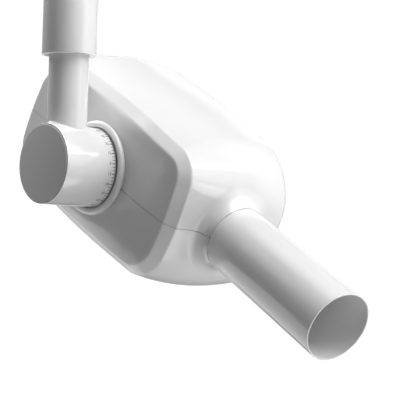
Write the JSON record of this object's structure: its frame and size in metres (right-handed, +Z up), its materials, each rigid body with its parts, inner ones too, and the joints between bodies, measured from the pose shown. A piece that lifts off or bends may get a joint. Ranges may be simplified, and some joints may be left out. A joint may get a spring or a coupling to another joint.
{
  "type": "dental x-ray tube head",
  "caption": "Dental X-ray tube head: arm sleeve with a swivelling knuckle, a tilting casing with tank and tube inside, and an open-ended round cone.",
  "frame": {"origin": "centre of the adapter plug's top face, on the swivel axis, where the arm takes hold of the sleeve", "axes": "+Z up along the swivel axis towards the arm, +X along the tilt axis from the knuckle to the head, the beam points towards -Y and at rest 29.6 degrees below it"},
  "size_m": [0.2108, 0.4031, 0.343],
  "materials": {
    "gloss_white": "gloss",
    "painted_white": "gloss",
    "cap_grey": "satin",
    "steel": "satin",
    "aluminium": "satin",
    "bronze": "satin",
    "bush_plastic": "satin",
    "black_rubber": "matte",
    "lead": "matte",
    "copper": "satin",
    "core_steel": "satin",
    "winding": "satin",
    "clear_glass": "polished",
    "board_green": "satin"
  },
  "bodies": {
    "arm_socket": {"arm_sleeve": "painted_white", "arm_adapter_plug": "aluminium", "sleeve_end_ring": "painted_white", "lower_swivel_bush": "bush_plastic", "upper_swivel_bush": "bush_plastic", "swivel_thrust_washer": "bronze", "swivel_brake_pad": "bush_plastic", "swivel_brake_screw": "steel", "swivel_stop_pin": "steel", "adapter_screw_1": "steel", "adapter_screw_2": "steel", "adapter_screw_3": "steel"},
    "knuckle": {"knuckle_housing": "painted_white", "swivel_spigot": "steel", "swivel_retaining_ring": "steel", "swivel_stop_ring": "steel", "end_cap": "cap_grey", "tilt_bush": "bush_plastic", "tilt_stop_pin": "steel", "head_cable": "black_rubber"},
    "head": {"trunnion_shaft": "steel", "tilt_friction_disc": "black_rubber", "tilt_pressure_plate": "steel", "disc_spring_1": "steel", "disc_spring_2": "steel", "tilt_lock_nut": "steel", "tilt_stop_disc": "steel", "boss_collar": "gloss_white", "upper_casing": "gloss_white", "lower_casing": "gloss_white", "casing_screw_1": "steel", "casing_screw_2": "steel", "casing_screw_3": "steel", "casing_screw_4": "steel", "trunnion_bracket": "steel", "trunnion_screw_1": "steel", "trunnion_screw_2": "steel", "trunnion_screw_3": "steel", "tank_body": "aluminium", "tank_lid": "aluminium", "tank_gasket": "black_rubber", "tube_envelope": "clear_glass", "anode_block": "copper", "cathode_cup": "steel", "tube_shield": "lead", "transformer_core": "core_steel", "primary_coil": "winding", "secondary_coil": "winding", "filament_transformer": "winding", "expansion_bellows": "black_rubber", "beam_port_tube": "aluminium", "beam_filter": "aluminium", "beam_diaphragm": "lead", "collimator_tube": "gloss_white", "collimator_liner": "lead", "neck_o_ring": "black_rubber", "control_board": "board_green", "board_capacitor": "black_rubber", "cable_terminal_block": "bush_plastic"}
  },
  "joints": [
    {"name": "arm_swivel", "type": "hinge", "parent": "arm_socket", "child": "knuckle", "pos_m": [0, 0, -0.05], "axis": [0, 0, 1], "range_deg": [-165, 165]},
    {"name": "head_tilt", "type": "hinge", "parent": "knuckle", "child": "head", "pos_m": [0, 0, -0.175], "axis": [1, 0, 0], "range_deg": [-174.6, 115.4]}
  ]
}
